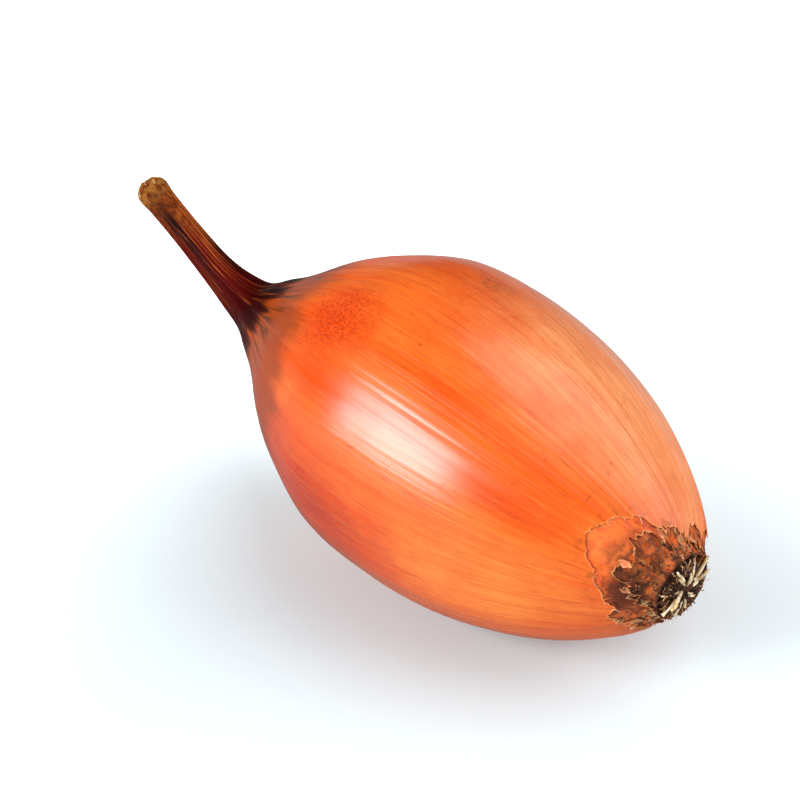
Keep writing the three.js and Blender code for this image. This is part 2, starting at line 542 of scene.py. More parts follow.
def makeCrumbs():
    # small broken lumps scattered over the faces of a patch
    tree, given, result = startGroup("crumbs", "GeometryNodeTree", {
        "Geometry": None, "Material": None, "Density": 1e6, "Size": 0.0002, "Spread": 0.6, "Flatness": 0.6,
        "Seed": 1,
    }, ["Geometry"])
    seed = given["Seed"]
    dots = addNode(tree, "GeometryNodeDistributePointsOnFaces", {
        "Mesh": given["Geometry"], "Density": given["Density"], "Seed": seed,
    })
    size = spreadAround(tree, given["Size"], given["Spread"], seed, 3.0)
    width = times(tree, size, randomValue(tree, 0.7, 1.8, seed, 4.0))
    spin = addNode(tree, "FunctionNodeEulerToRotation", {
        0: joinVector(tree, 0.0, 0.0, randomValue(tree, 0.0, fullTurn, seed, 5.0)),
    })
    turned = addNode(tree, "FunctionNodeRotateRotation", rotation_space="LOCAL", inputs={
        0: dots.outputs["Rotation"], 1: spin.outputs[0],
    })
    lump = addNode(tree, "GeometryNodeMeshIcoSphere", {"Radius": 1.0, "Subdivisions": 2})
    placed = addNode(tree, "GeometryNodeInstanceOnPoints", {
        "Points": dots.outputs["Points"], "Instance": lump.outputs[0], "Rotation": turned.outputs[0],
        "Scale": joinVector(tree, width, size, times(tree, size, given["Flatness"])),
    })
    real = addNode(tree, "GeometryNodeRealizeInstances", {"Geometry": placed.outputs[0]})
    rough = noiseVector(tree, addNode(tree, "GeometryNodeInputPosition").outputs[0], 2600.0, 3.0)
    broken = addNode(tree, "GeometryNodeSetPosition", {
        "Geometry": real.outputs[0], "Offset": scaled(tree, rough, times(tree, given["Size"], 1.6)),
    })
    return finishTree(tree, broken.outputs[0], given["Material"], result)


skinRelief = makeSkinRelief()
strandTree = makeStrands()
crumbTree = makeCrumbs()
print("geometry trees ready")


# Shader groups

def readAttribute(tree, label):
    return addNode(tree, "ShaderNodeAttribute", attribute_name=label, attribute_type="GEOMETRY").outputs


def makeGrainNoise():
    # streaks that follow the skin from root to neck
    tree, given, result = startGroup("grainNoise", "ShaderNodeTree", {
        "Count": 20.0, "Drift": 1.0, "Contrast": 2.0, "Line Width": 0.12, "Seed": 0.0,
    }, ["Streak", "Line"])
    grain = readAttribute(tree, "grain")["Vector"]
    waves = grainWaves(tree, grain, given["Count"], given["Drift"], given["Seed"], 2.0)
    centred = times(tree, waves, given["Contrast"])
    feed(tree, result["Streak"], plus(tree, centred, 0.5, clamp=True))
    feed(tree, result["Line"], fade(tree, calc(tree, "ABSOLUTE", centred), 0.0, given["Line Width"]))
    return tree


def makeSkinSpot():
    # a soft-edged spot on the skin around one place
    tree, given, result = startGroup("skinSpot", "ShaderNodeTree", {
        "Cosine": 1.0, "Sine": 0.0, "Along": 0.5, "Width": 0.2, "Length": 0.1, "Uneven": 0.5, "Seed": 0.0,
    }, ["Mask"])
    middle = joinVector(tree, given["Cosine"], given["Sine"], given["Along"])
    size = joinVector(tree, given["Width"], given["Width"], given["Length"])
    away = vectorCalc(tree, "SUBTRACT", readAttribute(tree, "grain")["Vector"], middle)[0]
    distance = vectorCalc(tree, "LENGTH", vectorCalc(tree, "DIVIDE", away, size)[0])["Value"]
    place = addNode(tree, "ShaderNodeTexCoord").outputs["Object"]
    blot = minus(tree, noise(tree, place, given["Seed"], 320.0, 3.0)[0], 0.5)
    warped = plus(tree, distance, times(tree, blot, given["Uneven"]))
    feed(tree, result["Mask"], fade(tree, warped, 0.25, 1.0))
    return tree


def makeStain():
    # blotches and specks in space, for dirt, rot and scuffs
    tree, given, result = startGroup("stain", "ShaderNodeTree", {
        "Scale": 400.0, "Level": 0.5, "Softness": 0.1, "Detail": 4.0, "Seed": 0.0,
    }, ["Mask", "Value"])
    place = addNode(tree, "ShaderNodeTexCoord").outputs["Object"]
    blots = noise(tree, place, given["Seed"], given["Scale"], given["Detail"], 0.4)[0]
    low = minus(tree, given["Level"], given["Softness"])
    high = plus(tree, given["Level"], given["Softness"])
    feed(tree, result["Mask"], ramp(tree, blots, low, high))
    feed(tree, result["Value"], blots)
    return tree


grainNoise = makeGrainNoise()
skinSpot = makeSkinSpot()
stainGroup = makeStain()


def startMaterial(name):
    material = bpy.data.materials.new(name)
    material.use_nodes = True
    tree = material.node_tree
    return material, tree, tree.nodes["Principled BSDF"]


def readAlong(tree):
    # share of the bulb's length, from root to neck
    return splitVector(tree, readAttribute(tree, "grain")["Vector"])[2]


def readEdge(tree):
    # distance from the torn edge in millimetres
    return readAttribute(tree, "edge")["Fac"]


def streaks(tree, count, drift, seed, contrast, lineWidth=0.12):
    return useGroup(tree, grainNoise, count=count, drift=drift, seed=seed, contrast=contrast,
                    lineWidth=lineWidth)


def stain(tree, scale, level, softness, seed, detail=4.0):
    return useGroup(tree, stainGroup, scale=scale, level=level, softness=softness, seed=seed, detail=detail)


def spotAt(tree, angle, height, width, length, uneven, seed):
    # angle in degrees, height and length in millimetres, width as a share of the radius
    turn = math.radians(angle)
    scale = mm / shape["length"]
    spot = useGroup(tree, skinSpot, cosine=math.cos(turn), sine=math.sin(turn), along=height * scale,
                    width=width, length=length * scale, uneven=uneven, seed=seed)
    return spot["Mask"]


def paint(tree, base, look, *layers):
    # paints layers over the base one after another: where, how strongly, and the colour's name in look
    for mask, strength, tone in layers:
        base = mixColours(tree, times(tree, mask, strength, clamp=True), base, colour(look[tone]))
    return base


def addBump(tree, shader, height, strength, distance):
    bump = addNode(tree, "ShaderNodeBump", {"Height": height, "Strength": strength, "Distance": distance})
    feed(tree, shader.inputs["Normal"], bump.outputs[0])


# Materials

copperLook = {
    "root": "#d46016", "body": "#d25c0a", "deep": "#bc3c02", "rosy": "#c85e26", "pale": "#de8436",
    # peach is a painted reflection: a pale peach sheen for the bright surroundings mirrored at the skin's
    # edge
    "peach": "#e8a46c", "vivid": "#d24400", "flush": "#c83400", "red": "#d03800", "rust": "#821e04",
    # belly is a deep red on the lower-left belly, partly the skin's own colour and partly painted shade
    "belly": "#8e1c00", "scuff": "#6a3c26", "shoulder": "#7e3008", "olive": "#3c2006", "collar": "#220502",
    # amber is the neck's thread colour, also used as a painted highlight on the neck's lit side
    "neck": "#180101", "crimson": "#580604", "amber": "#cc6a28", "tan": "#6a2e0c", "fleck": "#8a5a26",
    "edge": "#e08a4c", "dirt": "#7a3a10",
}


def makeCopperColour():
    # all that the outer skin shows from root to neck; the numbers are as streaks, spotAt and stain name them
    look = copperLook
    tree, given, result = startGroup("copperColour", "ShaderNodeTree", {"Seed": 3.0},
                                     ["Colour", "Roughness", "Height", "Gloss"])
    along = readAlong(tree)
    edge = readEdge(tree)
    gloss = times(tree, ramp(tree, along, 0.12, 0.34, 0.3, 1.0), fade(tree, along, 0.62, 0.82))
    feed(tree, result["Gloss"], gloss)

    # the orange body, banded and veined from root to neck
    base = mixColours(tree, ramp(tree, along, 0.03, 0.4), colour(look["root"]), colour(look["body"]))
    pale = streaks(tree, 32.0, 1.0, 12.0, 4.2)["Streak"]
    fine = streaks(tree, 150.0, 1.6, 15.0, 3.2)
    hair = streaks(tree, 320.0, 3.0, 29.0, 3.0)["Streak"]
    base = paint(
        tree, base, look,
        (streaks(tree, 7.0, 1.3, given["Seed"], 3.6)["Streak"], 0.6, "deep"),
        (streaks(tree, 14.0, 0.8, 8.0, 3.4)["Streak"], 0.4, "rosy"),
        (spotAt(tree, -42, 30, 0.38, 26, 0.5, 1.0), 0.75, "vivid"),
        (spotAt(tree, -48, 18, 0.34, 11, 0.7, 1.5), 0.75, "red"),
        (spotAt(tree, -52, 50, 0.4, 12, 0.6, 1.8), 0.5, "red"),
        (spotAt(tree, 2, 44, 0.35, 12, 0.6, 2.0), 0.35, "deep"),
        (spotAt(tree, -60, 60, 0.5, 20, 0.6, 3.0), 0.7, "deep"),
        (spotAt(tree, 160, 40, 0.5, 22, 0.7, 4.0), 0.6, "vivid"),
        (pale, 0.24, "pale"),
        (spotAt(tree, -96, 20, 0.6, 20, 0.5, 5.0), 0.65, "pale"),
        # painted reflection: a pale peach sheen where the skin turns away, standing in for the bright
        # surroundings
        (spotAt(tree, 28, 20, 1.0, 34, 0.4, 6.0), 0.72, "peach"),
        # deep red on the lower-left belly: partly the skin's own colour, partly painted shade
        (spotAt(tree, -102, 56, 0.7, 30, 0.4, 6.5), 1.0, "belly"),
        (fine["Line"], 0.15, "pale"),
        (streaks(tree, 105.0, 2.2, 23.0, 5.0, lineWidth=0.08)["Line"], 0.32, "rust"),
        (hair, 0.34, "deep"),
        (streaks(tree, 230.0, 22.0, 53.0, 3.6)["Streak"], 0.18, "deep"),
        (streaks(tree, 130.0, 12.0, 59.0, 4.0, lineWidth=0.1)["Line"], 0.2, "rust"),
        (stain(tree, 110.0, 0.52, 0.16, 26.0)["Mask"], 0.3, "deep"),
    )

    # rust specks on top near the neck, a grey scuff, freckles and short dashes
    specks = stain(tree, 2600.0, 0.52, 0.08, 4.0)["Mask"]
    blush = spotAt(tree, -30, 58.5, 0.4, 11.5, 0.35, 7.0)
    scuff = spotAt(tree, 18, 45, 0.12, 4.5, 0.8, 8.0)
    dashes = streaks(tree, 200.0, 16.0, 47.0, 3.0)["Streak"]
    base = paint(
        tree, base, look,
        (blush, 0.6, "flush"),
        (times(tree, blush, specks), 0.6, "rust"),
        (times(tree, scuff, specks), 0.7, "scuff"),
        (stain(tree, 900.0, 0.7, 0.02, 9.0)["Mask"], 0.5, "rust"),
        (ramp(tree, dashes, 0.9, 1.0), 0.2, "rust"),
    )

    # the shoulder browns and thins before the dark collar
    wisps = streaks(tree, 44.0, 2.4, 31.0, 3.4)
    wide = streaks(tree, 9.0, 2.0, 37.0, 3.0)["Streak"]
    uneven = plus(tree, times(tree, wisps["Streak"], 0.05), times(tree, wide, 0.04))
    reach = plus(tree, along, minus(tree, uneven, 0.045))
    lean = times(tree, spotAt(tree, -80, 72, 1.1, 22, 0.3, 11.0), 0.1)
    base = paint(
        tree, base, look,
        (ramp(tree, plus(tree, reach, lean), 0.745, 0.85), 0.88, "shoulder"),
        (times(tree, ramp(tree, reach, 0.79, 0.88), wisps["Line"]), 0.9, "olive"),
        (ramp(tree, reach, 0.888, 0.93), 0.85, "collar"),
    )

    # the dry neck: almost black, with crimson and amber threads; the amber threads gather on its lit side,
    # where they are partly a painted highlight
    threads = streaks(tree, 40.0, 1.8, 41.0, 4.8, lineWidth=0.09)
    glow = streaks(tree, 8.0, 3.5, 43.0, 4.0)["Streak"]
    warmth = times(tree, glow, ramp(tree, along, 0.97, 1.1, 0.2, 0.7))
    neck = mixColours(tree, warmth, colour(look["neck"]), colour(look["crimson"]))
    # the amber threads are strongest on the neck's lit side: partly real colour, partly painted highlight
    middle = ramp(tree, spotAt(tree, -22, 101, 0.8, 11, 0.3, 12.0), 0.0, 1.0, 0.16, 1.0)
    neck = paint(tree, neck, look, (times(tree, threads["Line"], middle), 1.0, "amber"))
    base = mixColours(tree, ramp(tree, reach, 0.905, 0.955), base, neck)

    # tan again at its tip
    tanStart = ramp(tree, plus(tree, along, times(tree, glow, 0.06)), 1.24, 1.31)
    warmSide = spotAt(tree, 15, 108, 0.9, 9, 0.3, 10.0)
    mottle = stain(tree, 1300.0, 0.5, 0.06, 12.0)
    tip = ramp(tree, along, 1.28, 1.325)
    base = paint(
        tree, base, look,
        (tanStart, 0.85, "tan"),
        (times(tree, warmSide, threads["Streak"]), 0.7, "amber"),
        (times(tree, tanStart, mottle["Mask"]), 0.6, "collar"),
        (times(tree, tip, stain(tree, 1100.0, 0.48, 0.12, 14.0)["Mask"]), 0.85, "fleck"),
        (times(tree, tip, stain(tree, 1900.0, 0.6, 0.08, 16.0)["Mask"]), 0.7, "collar"),
    )

    # the torn edge is dry and pale, with dirt caught behind it
    dirt = stain(tree, 800.0, 0.58, 0.05, 18.0)["Mask"]
    ragTone = stain(tree, 500.0, 0.46, 0.1, 19.0)["Mask"]
    base = paint(
        tree, base, look,
        (times(tree, fade(tree, edge, 0.3, 3.2), dirt), 0.5, "dirt"),
        (times(tree, fade(tree, edge, 0.05, 0.3), ragTone), 0.7, "edge"),
    )
    feed(tree, result["Colour"], base)

    onNeck = ramp(tree, reach, 0.9, 0.97)
    rough = ramp(tree, fine["Streak"], 0.0, 1.0, 0.25, 0.37)
    rough = plus(tree, rough, times(tree, onNeck, 0.1))
    feed(tree, result["Roughness"], plus(tree, rough, times(tree, tip, 0.3)))
    height = times(tree, fine["Line"], 0.5)
    for value, share in (
        (pale, 0.35), (hair, 0.35), (times(tree, threads["Streak"], onNeck), 1.5),
        (times(tree, mottle["Value"], tip), 2.0),
    ):
        height = plus(tree, height, times(tree, value, share))
    feed(tree, result["Height"], height)
    return tree


def makeCopperSkin(name, specular, coat):
    material, tree, shader = startMaterial(name)
    painted = useGroup(tree, copperColour)
    feed(tree, shader.inputs["Base Color"], painted["Colour"])
    feed(tree, shader.inputs["Roughness"], painted["Roughness"])
    feed(tree, shader.inputs["Coat Weight"], times(tree, painted["Gloss"], coat))
    shader.inputs["Coat Roughness"].default_value = 0.23
    shader.inputs["Specular IOR Level"].default_value = specular
    addBump(tree, shader, painted["Height"], 0.3, 0.15 * mm)
    return material


def makeUnderSkin(name, look):
    # the layers that show below the torn edge, stained by the soil
    material, tree, shader = startMaterial(name)
    along = readAlong(tree)
    seed = look["seed"]
    bands = streaks(tree, 16.0, 2.0, seed, 3.4)["Streak"]
    veins = streaks(tree, 70.0, 3.0, seed + 3.0, 4.0)
    base = mixColours(tree, bands, colour(look["light"]), colour(look["body"]))
    base = paint(
        tree, base, look,
        (veins["Line"], 0.4, "vein"),
        (stain(tree, 620.0, 0.56, 0.05, seed + 5.0)["Mask"], 0.6, "rosy"),
    )

    # tan, and then brown, towards the plate
    nearPlate = fade(tree, along, look["tanTo"] * 0.4, look["tanTo"])
    tan = times(tree, stain(tree, 260.0, 0.5, 0.09, seed + 7.0)["Mask"], nearPlate)
    tanned = plus(tree, times(tree, nearPlate, 0.6), times(tree, tan, 0.6))
    brown = stain(tree, 420.0, 0.47, 0.14, seed + 9.0, 8.0)
    reach = plus(tree, along, times(tree, minus(tree, bands, 0.5), 0.03))
    browned = times(tree, brown["Mask"], fade(tree, reach, look["brownTo"] * 0.55, look["brownTo"]))
    fibres = streaks(tree, 120.0, 6.0, seed + 15.0, 4.0)["Line"]
    orange = stain(tree, 800.0, 0.56, 0.06, seed + 17.0, 5.0)["Mask"]
    lobe = times(tree, spotAt(tree, -80, 3.2, 0.55, 3.6, 0.9, 13.0), ramp(tree, brown["Value"], 0.3, 0.46))
    scorch = times(tree, spotAt(tree, -18, 4.2, 0.5, 3.0, 0.9, 17.0), ramp(tree, brown["Value"], 0.36, 0.5))
    base = paint(
        tree, base, look,
        (tanned, 0.9, "tan"),
        (browned, 0.85, "brown"),
        (times(tree, fibres, nearPlate), 0.5, "light"),
        (times(tree, orange, nearPlate), 0.75, "body"),
        (lobe, 1.0, "brown"),
        (scorch, 0.75, "vein"),
    )

    # black rot round the plate, and the pale rag of the torn edge
    black = stain(tree, 1100.0, 0.58, 0.09, seed + 11.0, 6.0)["Mask"]
    blackReach = fade(tree, along, look["brownTo"] * 0.5, look["brownTo"] * 1.1)
    plateReach = plus(tree, along, times(tree, brown["Value"], 0.03))
    ragTone = stain(tree, 600.0, 0.48, 0.08, seed + 13.0)["Mask"]
    base = paint(
        tree, base, look,
        (times(tree, black, blackReach), 0.75, "black"),
        (fade(tree, plateReach, look["plateTo"] * 0.6, look["plateTo"]), 0.85, "black"),
        (times(tree, fade(tree, readEdge(tree), 0.1, 0.4), ragTone), 0.5, "edge"),
    )
    feed(tree, shader.inputs["Base Color"], base)
    feed(tree, shader.inputs["Roughness"], ramp(tree, browned, 0.0, 1.0, 0.48, 0.8))
    shader.inputs["Specular IOR Level"].default_value = 0.22
    addBump(tree, shader, plus(tree, veins["Streak"], brown["Value"]), 0.5, 0.3 * mm)
    return material


def makeRootWood(name, look):
    # dry root threads, cork and soil: a light and a dark tone broken up by specks
    material, tree, shader = startMaterial(name)
    scale, seed = look["scale"], look["seed"]
    tone = stain(tree, scale, 0.5, look["softness"], seed)
    base = mixColours(tree, tone["Mask"], colour(look["light"]), colour(look["dark"]))
    base = paint(
        tree, base, look,
        (stain(tree, scale * 0.35, 0.55, 0.08, seed + 2.0)["Mask"], 0.6, "patch"),
        (stain(tree, scale * 2.3, 0.62, 0.04, seed + 4.0)["Mask"], 0.7, "grit"),
    )
    feed(tree, shader.inputs["Base Color"], base)
    shader.inputs["Roughness"].default_value = look["roughness"]
    shader.inputs["Specular IOR Level"].default_value = 0.25
    addBump(tree, shader, tone["Value"], 0.6, look["depth"])
    return material


copperColour = makeCopperColour()
copperSkin = makeCopperSkin("copperSkin", 0.2, 0.7)
shoulderSkin = makeCopperSkin("shoulderSkin", 0.1, 0.0)
neckSkin = makeCopperSkin("neckSkin", 0.03, 0.0)
# tan, brown and black plate rot reach these shares of the length
secondSkinPaint = makeUnderSkin("secondSkin", {
    "light": "#de7032", "body": "#d25614", "vein": "#a83a0c", "rosy": "#c84c28", "tan": "#b46028",
    "brown": "#5a240c", "black": "#1c0a06", "edge": "#e2a062",
    "seed": 51.0, "tanTo": 0.075, "brownTo": 0.085, "plateTo": 0.001,
})
baseSkinPaint = makeUnderSkin("baseSkin", {
    "light": "#d07c34", "body": "#c65012", "vein": "#7a2e0c", "rosy": "#b23c18", "tan": "#a45626",
    "brown": "#50200c", "black": "#1e0a05", "edge": "#b08450",
    "seed": 71.0, "tanTo": 0.09, "brownTo": 0.095, "plateTo": 0.024,
})
flakePaint = makeUnderSkin("flakeSkin", {
    "light": "#cc7c4a", "body": "#bc5226", "vein": "#96421e", "rosy": "#c4523e", "tan": "#a87040",
    "brown": "#70341a", "black": "#2c120a", "edge": "#d8a070",
    "seed": 91.0, "tanTo": 0.05, "brownTo": 0.04, "plateTo": 0.001,
})
corkPaint = makeRootWood("rootCork", {
    "seed": 3.0, "light": "#4c2c1c", "dark": "#1c0c08", "patch": "#2e160e", "grit": "#80583a",
    "scale": 900.0, "softness": 0.08, "roughness": 0.92, "depth": 0.4 * mm,
})
creamRoot = makeRootWood("creamRoot", {
    "seed": 13.0, "light": "#ead8b4", "dark": "#c4a474", "patch": "#86603a", "grit": "#4c3422",
    "scale": 800.0, "softness": 0.12, "roughness": 0.7, "depth": 0.1 * mm,
})
darkRoot = makeRootWood("darkRoot", {
    "seed": 23.0, "light": "#86583a", "dark": "#1e0e09", "patch": "#402010", "grit": "#b09068",
    "scale": 700.0, "softness": 0.08, "roughness": 0.85, "depth": 0.1 * mm,
})
soilPaint = makeRootWood("rootSoil", {
    "seed": 33.0, "light": "#784a2c", "dark": "#26120b", "patch": "#4a2a18", "grit": "#a88460",
    "scale": 1200.0, "softness": 0.06, "roughness": 0.95, "depth": 0.1 * mm,
})
fibrePaint = makeRootWood("dryFibre", {
    "seed": 43.0, "light": "#e8c490", "dark": "#b8743a", "patch": "#8a4c24", "grit": "#5a2c14",
    "scale": 500.0, "softness": 0.1, "roughness": 0.7, "depth": 0.05 * mm,
})
print("materials ready")


# The skins

tornSkin = {
    "insideRings": 12,
    "outsideRings": 44,
    "overlap": 2 * mm,         # what the inside counts as its distance from the edge
    "curl": 0.1 * mm,          # how far the edge turns outwards
    "curlReach": 1.4 * mm,
    "curlWaves": [(2, 9, 0.45), (9, 40, 0.25)],
}
outerSkin = {
    "columns": 560,
    "seed": 5,
    "thickness": 0.11 * mm,
    "closedAt": 30 * mm,       # height of the hidden inner end
    "bodyFrom": 26 * mm,       # heights where the rings of the body and of the neck begin
    "neckFoot": 76 * mm,
    "bodyRings": 44,
    "neckRings": 76,
    "tears": [(5, 14, 0.3 * mm), (14, 40, 0.13 * mm), (40, 120, 0.07 * mm)],
    "lowest": 0.8 * mm,        # the torn edge stays above this height
    "shoulderFrom": 0.82,      # shares of the length where the skin turns duller
    "neckFrom": 0.895,
    # torn edge: angle in degrees, height in millimetres
    "edge": [(-70, 6.6), (-58, 8.9), (-46, 9.3), (-35, 8.3), (-20, 6.6), (-8, 4.0), (5, 3.1), (35, 2.5),
             (80, 4.2), (125, 6.8), (165, 4.4), (205, 3.1), (223, 3.2), (240, 3.3), (262, 4.3), (276, 5.3)],
}
secondSkin = {
    "columns": 420,
    "seed": 9,
    "lift": -0.17 * mm,
    "thickness": 0.07 * mm,
    "closedAt": 24 * mm,
    "bodyFrom": 26 * mm,       # height of its hidden outer end
    "tears": [(4, 12, 0.35 * mm), (12, 34, 0.3 * mm), (34, 90, 0.16 * mm)],
    "lowest": 0.5 * mm,
    "edge": [(-75, 2.8), (-58, 4.6), (-35, 5.0), (-15, 3.2), (5, 1.6), (60, 1.3), (120, 3.6), (170, 1.8),
             (215, 1.2), (245, 1.5), (270, 2.1)],
}
baseSkin = {
    "columns": 360,
    "lift": -0.34 * mm,
    "closedAt": 22 * mm,
    "recessRings": 22,
    "bodyRings": 90,
    "edge": 9 * mm,            # it has no torn edge near
    "crumple": 0.12 * mm,
}
skinFolds = {
    "Lobe Depth": 0.3 * mm, "Fold Count": 36.0, "Fold Depth": 0.1 * mm, "Vein Count": 96.0,
    "Vein Depth": 0.03 * mm, "Neck Folds": 15.0, "Neck Depth": 0.16 * mm, "Seed": 4.0,
}


def tornEdge(parts):
    around = np.linspace(0, fullTurn, parts["columns"], endpoint=False)
    height = periodic(around, parts["edge"]) * mm + ragged(around, parts["seed"], parts["tears"])
    return travelAt(np.maximum(height, parts["lowest"]))


def tornRings(parts, edge):
    # from the hidden inner end, down the inside to the torn edge, and up the outside
    around = np.linspace(0, fullTurn, parts["columns"], endpoint=False)
    lift, thickness = parts.get("lift", 0.0), parts["thickness"]
    waves = ragged(around, parts["seed"], tornSkin["curlWaves"])
    lip = tornSkin["curl"] * np.clip(0.45 + waves, 0, 2.2)
    insideStart, bodyStart = travelAt(parts["closedAt"]), travelAt(parts["bodyFrom"])
    rings = []
    for share in np.linspace(0, 1, tornSkin["insideRings"]):
        travel = insideStart + (edge - insideStart) * share
        curled = lip * np.exp(-(travel - edge) / tornSkin["curlReach"])
        rings.append((travel, lift - thickness + curled, travel - edge + tornSkin["overlap"]))
    rings.append((edge - 0.04 * mm, lift - thickness / 2 + lip, 0 * edge))
    for share in np.linspace(0, 1, tornSkin["outsideRings"]) ** 1.6:
        travel = edge + (bodyStart - edge) * share
        curled = lip * np.exp(-(travel - edge) / tornSkin["curlReach"])
        rings.append((travel, lift + curled, travel - edge))
    return rings


def dullTowardsNeck(piece):
    # the skin turns duller in two steps along a ragged line
    grain = np.zeros(3 * len(piece.data.vertices), np.float32)
    piece.data.attributes["grain"].data.foreach_get("vector", grain)
    cosine, sine, along = grain.reshape(-1, 3).T
    along = along - ragged(np.arctan2(sine, cosine), 15, [(3, 9, 0.006), (9, 60, 0.006)])
    dull = (along > outerSkin["shoulderFrom"]).astype(int) + (along > outerSkin["neckFrom"])
    for material in (shoulderSkin, neckSkin):
        piece.data.materials.append(material)
    for face in piece.data.polygons:
        face.material_index = int(dull[face.vertices[0]])


def makeOuterSkin():
    edge = tornEdge(outerSkin)
    rings = tornRings(outerSkin, edge)
    bodyStart, neckFoot = travelAt(outerSkin["bodyFrom"]), travelAt(outerSkin["neckFoot"])
    body = np.linspace(bodyStart, neckFoot, outerSkin["bodyRings"])[1:]
    neck = np.linspace(neckFoot, wholeTravel - 0.1 * mm, outerSkin["neckRings"])[1:]
    rings += [(travel, 0.0, travel - edge) for travel in (*body, *neck)]
    piece = turnedPiece("outer_skin", rings, outerSkin["columns"])
    runNodes(piece, skinRelief, {"Material": copperSkin, **skinFolds})
    dullTowardsNeck(piece)
    return piece, edge


def makeSecondSkin():
    edge = tornEdge(secondSkin)
    piece = turnedPiece("second_skin", tornRings(secondSkin, edge), secondSkin["columns"])
    return runNodes(piece, skinRelief, {"Material": secondSkinPaint, **skinFolds}), edge


def makeBaseSkin():
    inside = np.linspace(recessTravel + 0.3 * mm, 0, baseSkin["recessRings"])
    outside = np.linspace(0, travelAt(baseSkin["closedAt"]), baseSkin["bodyRings"])[1:]
    rings = [(travel, baseSkin["lift"], baseSkin["edge"]) for travel in (*inside, *outside)]
    piece = turnedPiece("base_skin", rings, baseSkin["columns"])
    values = {"Material": baseSkinPaint, "Crumple": baseSkin["crumple"], **skinFolds}
    return runNodes(piece, skinRelief, values)


def declare(piece, slotName, *nodes):
    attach(piece, "root")
    if nodes:
        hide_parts(*nodes)
    print(piece.name, len(piece.data.polygons), "faces")


skinPiece, outerEdge = makeOuterSkin()
secondPiece, secondEdge = makeSecondSkin()
basePiece = makeBaseSkin()
declare(skinPiece, "skin", "bulb")
declare(secondPiece, "skin")
declare(basePiece, "skin")


# The root plate and its threads, made standing on the bulb's axis and then laid down with it

rootPlate = {
    "radius": 4.25 * mm,
    "dome": 0.75 * mm,
    "bottom": 1.5 * mm,
    "lumps": 0.32 * mm,
    "uneven": 0.03,     # how far its edge is from round, as a share of the radius
    "columns": 120,
    "rings": 34,
}


def lumpHeight(x, y, seed):
    rng = np.random.default_rng(seed)
    total = np.zeros_like(x)
    for size, count in ((1.6, 7), (0.8, 14), (0.4, 26)):
        for _ in range(count):
            turn, phase = rng.uniform(0, fullTurn, 2)
            wave = (x * math.cos(turn) + y * math.sin(turn)) / (size * mm) * fullTurn + phase
            total += size * np.sin(wave) / math.sqrt(count)
    return total / 2


def makeRootPlate():
    around = np.linspace(0, fullTurn, rootPlate["columns"], endpoint=False)
    shares = np.linspace(0.03, 1, rootPlate["rings"])
    wall = np.array([1.0, 0.94])
    outline = 1 + rootPlate["uneven"] * ragged(around, 3, [(3, 20, 1.0)])
    radius = rootPlate["radius"] * np.concatenate([shares, wall])[:, None] * outline
    x, y = radius * np.cos(around), radius * np.sin(around)
    lumps = rootPlate["lumps"] * lumpHeight(x, y, 11)[:len(shares)]
    dome = -rootPlate["dome"] * (1 - shares[:, None] ** 2) + lumps
    z = np.vstack([dome, np.full((2, len(around)), rootPlate["bottom"] * 0.8)])
    z[-1] = rootPlate["bottom"]
    points = laidDown(np.stack([x, y, z], axis=-1))
    piece = addPiece("root_plate_cork", withMiddles(points), closedFaces(*x.shape))
    piece.data.materials.append(corkPaint)
    piece.data.shade_smooth()
    return piece


# distances from the axis and above the plate in millimetres; flat is 0 down the axis and 1 square to it
rootThreads = {
    "root_threads": {
        "count": 17, "inner": 0.3, "outer": 1.9, "raised": 0.55, "flat": 0.97, "seed": 7,
        "material": creamRoot,
        "Length": 3.3 * mm, "Spread": 0.35, "Thickness": 0.21 * mm, "Taper": 0.25, "Bend": 0.3,
        "Wiggle": 0.45 * mm, "Curl": 450.0, "Sides": 9, "Steps": 12,
    },
    "dark_root_threads": {
        "count": 110, "inner": 0.2, "outer": 3.5, "raised": 0.0, "flat": 0.92, "seed": 17,
        "material": darkRoot,
        "Length": 1.5 * mm, "Spread": 0.5, "Thickness": 0.17 * mm, "Taper": 0.5, "Bend": 0.35,
        "Wiggle": 0.5 * mm, "Curl": 700.0, "Sides": 7, "Steps": 9,
    },
    "fine_root_hairs": {
        "count": 70, "inner": 1.2, "outer": 4.0, "raised": 0.3, "flat": 0.95, "seed": 27,
        "material": fibrePaint,
        "Length": 1.3 * mm, "Spread": 0.6, "Thickness": 0.055 * mm, "Taper": 0.5, "Bend": 0.3,
        "Wiggle": 0.9 * mm, "Curl": 600.0, "Sides": 5, "Steps": 9,
    },
}


def makeRootThreads(name):
    # threads that start on the plate and fan outwards
    parts = rootThreads[name]
    count, inner, outer = parts["count"], parts["inner"], parts["outer"]
    rng = np.random.default_rng(parts["seed"])
    index = np.arange(count)
    turn = index * goldenTurn + rng.uniform(-0.3, 0.3, count)
    radius = (inner + (outer - inner) * np.sqrt((index + 0.5) / count)) * mm
    foot = np.full(count, (0.1 - parts["raised"]) * mm)
    start = np.stack([radius * np.cos(turn), radius * np.sin(turn), foot], axis=-1)
    fan = turn + rng.normal(0, 0.25, count)
    flat = np.clip(parts["flat"] * rng.uniform(0.85, 1.1, count), 0, 0.99)
    direction = np.stack([flat * np.cos(fan), flat * np.sin(fan), -np.sqrt(1 - flat ** 2)], axis=-1)
    back = np.broadcast_to([0.0, 0.0, 1.0], direction.shape)
    turnOnly = np.array(lying.to_3x3()).T
    attributes = {"direction": direction @ turnOnly, "outward": back @ turnOnly}
    piece = addPiece(name, laidDown(start), [], attributes)
    values = {"Material": parts["material"], "Seed": parts["seed"], **treeInputs(parts)}
    return runNodes(piece, strandTree, values)


declare(makeRootPlate(), "root", "root_plate")
for threadName in rootThreads:
    declare(makeRootThreads(threadName), "root")


# Soil crumbs round the plate

